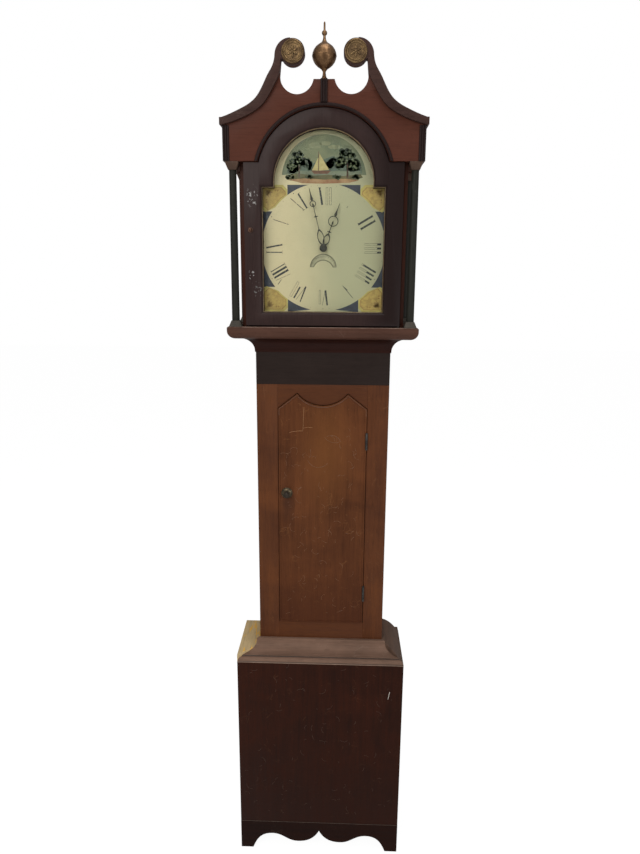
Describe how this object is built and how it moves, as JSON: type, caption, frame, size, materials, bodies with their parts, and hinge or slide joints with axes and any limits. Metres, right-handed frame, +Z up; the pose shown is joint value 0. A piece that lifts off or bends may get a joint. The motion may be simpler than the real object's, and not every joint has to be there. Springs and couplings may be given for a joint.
{
  "type": "longcase clock",
  "caption": "Tall longcase clock with a swan-neck hood, glazed break-arch door over a painted dial, shaped trunk door, plinth on bracket feet and a weight-driven pendulum movement.",
  "frame": {"origin": "on the floor, under the middle of the clock's bounding box", "axes": "+Z up; +X to the right as seen from the front; -Y out of the front, where the dial is"},
  "size_m": [0.474, 0.2324, 2.198],
  "materials": {
    "trunk_wood": "waxed, worn",
    "plinth_wood": "dark stain, worn",
    "moulding_wood": "dull",
    "bare_wood": "bare, unfinished",
    "back_wood": "rough",
    "black_wood": "near black stain",
    "hood_wood": "worn varnish",
    "hood_door_wood": "dark varnish",
    "column_paint": "painted, worn",
    "brass": "aged",
    "steel": "dull",
    "iron": "rough",
    "blued_steel": "dark",
    "dial_paint": "aged gloss",
    "date_paint": "aged gloss",
    "rope": "twisted",
    "glass": "clear",
    "dark_knob": "turned, dark"
  },
  "bodies": {
    "case": {"backboard": "back_wood", "plinth_front_board": "plinth_wood", "plinth_side_boards": "plinth_wood", "bracket_apron": "plinth_wood", "plinth_moulding_front": "moulding_wood", "plinth_moulding_left": "bare_wood", "plinth_moulding_right": "moulding_wood", "trunk_side_boards": "trunk_wood", "trunk_stiles": "trunk_wood", "trunk_rails": "trunk_wood", "throat_board": "black_wood", "throat_moulding": "black_wood", "trunk_hinge_frame_leaves": "iron", "seatboard": "back_wood", "dial_plate": "dial_paint", "movement_cage": "iron", "pendulum_cock": "brass", "bell_stand": "steel", "bell": "brass", "drive_rope": "rope", "slack_rope": "rope"},
    "trunk_door": {"trunk_door_panel": "trunk_wood", "trunk_hinge_door_leaves": "iron", "knob_backplate": "brass"},
    "trunk_latch": {"trunk_door_knob": "dark_knob", "latch_tongue": "iron"},
    "hood": {"hood_base_moulding": "hood_wood", "hood_side_boards": "hood_wood", "hood_mask": "hood_door_wood", "hood_frieze": "hood_wood", "frieze_side_boards": "hood_wood", "frieze_beads": "hood_door_wood", "swan_neck_left": "hood_wood", "swan_neck_right": "hood_wood", "rosettes": "brass", "finial": "brass", "hood_roof": "back_wood", "column_shafts": "column_paint", "column_capitals": "moulding_wood", "column_bases": "column_paint"},
    "hood_door": {"hood_door_frame": "hood_door_wood", "hood_door_glass": "glass", "hood_door_knob": "brass", "hood_door_pivots": "iron"},
    "escape_arbor": {"escape_wheel": "brass"},
    "second_arbor": {"second_wheel": "brass"},
    "great_arbor": {"great_wheel": "brass"},
    "minute_work": {"cannon_wheel": "brass", "minute_hand": "blued_steel"},
    "hour_work": {"hour_wheel": "brass", "hour_hand": "blued_steel"},
    "date_work": {"date_disc": "date_paint"},
    "anchor_arbor": {"anchor": "steel"},
    "pendulum": {"pendulum_rod": "iron", "pendulum_bob": "iron"},
    "strike_arbor": {"strike_great_wheel": "brass"},
    "hammer_arbor": {"hammer": "steel"},
    "weight": {"driving_weight": "iron"},
    "pulley": {"weight_pulley": "brass"},
    "ring": {"ring_weight": "iron"}
  },
  "joints": [
    {"name": "hood_slide", "type": "slide", "parent": "case", "child": "hood", "axis": [0, -1, 0], "range_m": [0, 0.3]},
    {"name": "hood_door_hinge", "type": "hinge", "parent": "hood", "child": "hood_door", "pos_m": [0.183, -0.0848, 1.53], "axis": [0, 0, 1], "range_deg": [0, 100]},
    {"name": "trunk_door_hinge", "type": "hinge", "parent": "case", "child": "trunk_door", "pos_m": [0.1154, -0.037, 1], "axis": [0, 0, 1], "range_deg": [0, 110]},
    {"name": "latch_turn", "type": "hinge", "parent": "trunk_door", "child": "trunk_latch", "pos_m": [-0.0935, -0.0178, 1.088], "axis": [0, 1, 0], "range_deg": [0, 90]},
    {"name": "escape_turn", "type": "hinge", "parent": "case", "child": "escape_arbor", "pos_m": [0, 0.0042, 1.7624], "axis": [0, 1, 0], "continuous": true},
    {"name": "second_turn", "type": "hinge", "parent": "case", "child": "second_arbor", "pos_m": [0, 0.0042, 1.7288], "axis": [0, 1, 0], "continuous": true},
    {"name": "great_turn", "type": "hinge", "parent": "case", "child": "great_arbor", "pos_m": [0, 0.0042, 1.682], "axis": [0, 1, 0], "continuous": true},
    {"name": "minute_turn", "type": "hinge", "parent": "case", "child": "minute_work", "pos_m": [0, -0.0618, 1.718], "axis": [0, 1, 0], "continuous": true},
    {"name": "hour_turn", "type": "hinge", "parent": "case", "child": "hour_work", "pos_m": [0, -0.0598, 1.718], "axis": [0, 1, 0], "continuous": true},
    {"name": "date_turn", "type": "hinge", "parent": "case", "child": "date_work", "pos_m": [0, -0.0538, 1.667], "axis": [0, 1, 0], "continuous": true},
    {"name": "anchor_rock", "type": "hinge", "parent": "case", "child": "anchor_arbor", "pos_m": [0, 0.0042, 1.7934], "axis": [0, 1, 0], "range_deg": [-3, 3]},
    {"name": "pendulum_swing", "type": "hinge", "parent": "case", "child": "pendulum", "pos_m": [0, 0.0702, 1.7934], "axis": [0, 1, 0], "range_deg": [-3, 3]},
    {"name": "strike_turn", "type": "hinge", "parent": "case", "child": "strike_arbor", "pos_m": [0, 0.0372, 1.682], "axis": [0, 1, 0], "continuous": true},
    {"name": "hammer_lift", "type": "hinge", "parent": "case", "child": "hammer_arbor", "pos_m": [0.05, 0.0192, 1.8], "axis": [0, 1, 0], "range_deg": [0, 12], "stiffness_Nm_per_rad": 0.5, "springref_deg": -11.46},
    {"name": "weight_lift", "type": "slide", "parent": "case", "child": "weight", "axis": [0, 0, 1], "range_m": [0, 1.14], "deforming": ["drive_rope"]},
    {"name": "ring_drop", "type": "slide", "parent": "case", "child": "ring", "axis": [0, 0, 1], "range_m": [-1.14, 0], "deforming": ["slack_rope"]},
    {"name": "pulley_turn", "type": "hinge", "parent": "weight", "child": "pulley", "pos_m": [-0.03, 0.0192, 0.43], "axis": [1, 0, 0], "continuous": true}
  ],
  "couplings": [
    {"joint": "second_turn", "follows": "great_turn", "ratio": -12},
    {"joint": "escape_turn", "follows": "great_turn", "ratio": 180},
    {"joint": "minute_turn", "follows": "great_turn", "ratio": -3},
    {"joint": "hour_turn", "follows": "great_turn", "ratio": -0.25},
    {"joint": "date_turn", "follows": "great_turn", "ratio": -0.0040323},
    {"joint": "anchor_rock", "follows": "pendulum_swing", "ratio": 1},
    {"joint": "ring_drop", "follows": "weight_lift", "ratio": -1}
  ]
}
